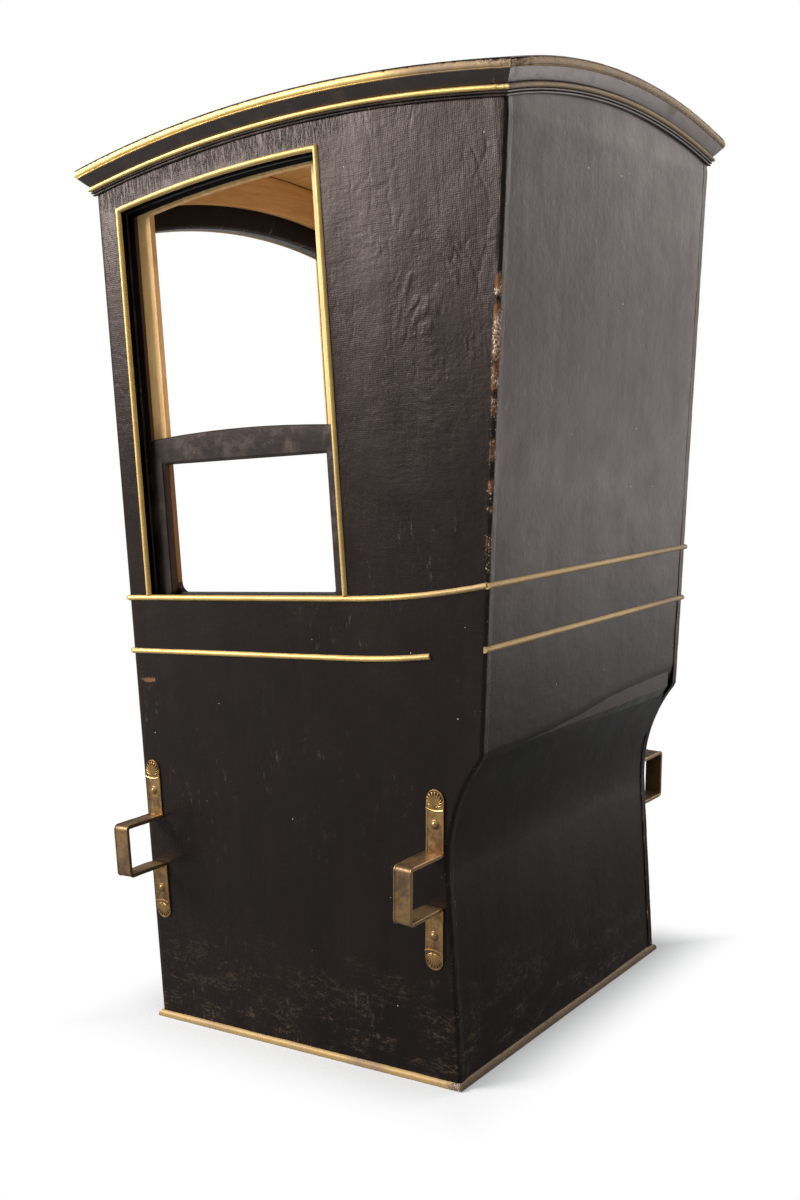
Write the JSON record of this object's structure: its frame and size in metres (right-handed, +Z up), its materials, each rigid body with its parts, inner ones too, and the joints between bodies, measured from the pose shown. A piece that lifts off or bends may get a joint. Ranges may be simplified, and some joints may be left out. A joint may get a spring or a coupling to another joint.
{
  "type": "sedan chair",
  "caption": "Black leather-covered sedan chair with an arched gilt cornice, open side windows with lowered sashes, a hinged front door and brass pole loops.",
  "frame": {"origin": "on the floor, under the middle of the cornice", "axes": "+Z up, -Y towards the front door, +X towards the occupant's left"},
  "size_m": [0.898, 0.91, 1.652],
  "materials": {
    "black_leather": "satin black paint over leather, wrinkled and scuffed",
    "black_paint": "worn black paint",
    "pale_wood": "bare pale wood with a light wax",
    "gilding": "worn gilding over wood",
    "aged_brass": "aged and tarnished"
  },
  "bodies": {
    "cabin": {"left_side_wall": "black_leather", "right_side_wall": "black_leather", "back_wall": "black_leather", "left_front_post": "black_leather", "right_front_post": "black_leather", "door_sill": "black_leather", "roof_shell": "black_leather", "left_cornice": "black_leather", "right_cornice": "black_leather", "front_cornice": "black_leather", "back_cornice": "black_leather", "left_window_sash": "black_paint", "right_window_sash": "black_paint", "floor_board": "pale_wood", "seat_board": "pale_wood", "seat_front_panel": "pale_wood", "seat_cleats": "pale_wood", "left_lining": "pale_wood", "right_lining": "pale_wood", "front_head": "pale_wood", "door_stops": "pale_wood", "left_window_trim": "gilding", "right_window_trim": "gilding", "left_cornice_gilding": "gilding", "right_cornice_gilding": "gilding", "front_cornice_gilding": "gilding", "back_cornice_gilding": "gilding", "left_waist_mouldings": "gilding", "right_waist_mouldings": "gilding", "back_waist_mouldings": "gilding", "post_mouldings": "gilding", "left_foot_moulding": "gilding", "right_foot_moulding": "gilding", "front_foot_moulding": "gilding", "back_foot_moulding": "gilding", "left_front_pole_bracket": "aged_brass", "right_front_pole_bracket": "aged_brass", "left_rear_pole_bracket": "aged_brass", "right_rear_pole_bracket": "aged_brass", "post_hinge_leaves": "aged_brass", "hinge_pins": "aged_brass"},
    "door": {"door": "black_leather", "door_waist_moulding": "gilding", "door_window_trim": "gilding", "door_knob": "aged_brass", "door_hinge_leaves": "aged_brass"}
  },
  "joints": [
    {"name": "door_hinge", "type": "hinge", "parent": "cabin", "child": "door", "pos_m": [0.306, -0.436, 0.8], "axis": [0, 0, 1], "range_deg": [0, 110]}
  ]
}
